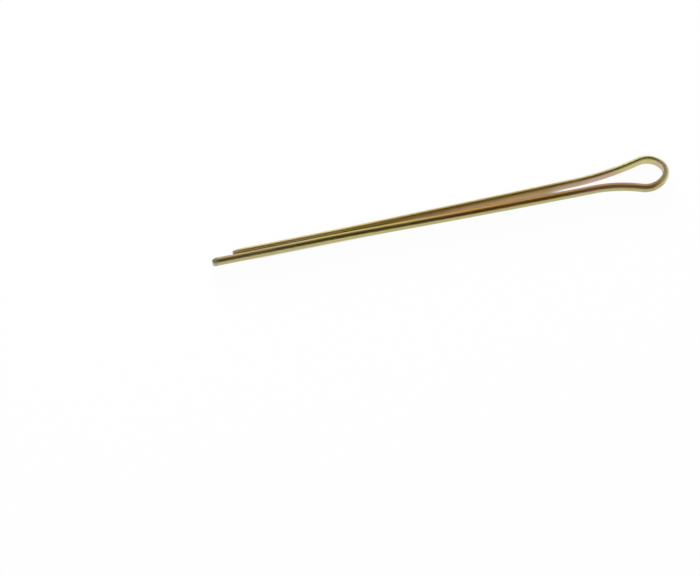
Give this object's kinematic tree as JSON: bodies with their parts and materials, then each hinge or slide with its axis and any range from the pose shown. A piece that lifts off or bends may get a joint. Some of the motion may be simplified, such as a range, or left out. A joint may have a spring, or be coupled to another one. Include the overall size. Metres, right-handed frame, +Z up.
{
  "type": "cotter pin",
  "caption": "Split cotter pin of half-round wire with a long tapering eye, closed parallel legs of unequal length and sheared chisel tips.",
  "frame": {"origin": "on the surface that the pin lies on, under the middle of its outline", "axes": "+X along the shank from the eye towards the tips, +Y towards the long leg, +Z up from the surface"},
  "size_m": [0.0946, 0.0078, 0.0026],
  "materials": {
    "plated_wire": "steel wire with yellow passivated zinc plating, olive gold with faint pink and green bands, bare grey metal on the sheared tips"
  },
  "bodies": {
    "root": {"cotter_pin": "plated_wire"}
  },
  "joints": []
}
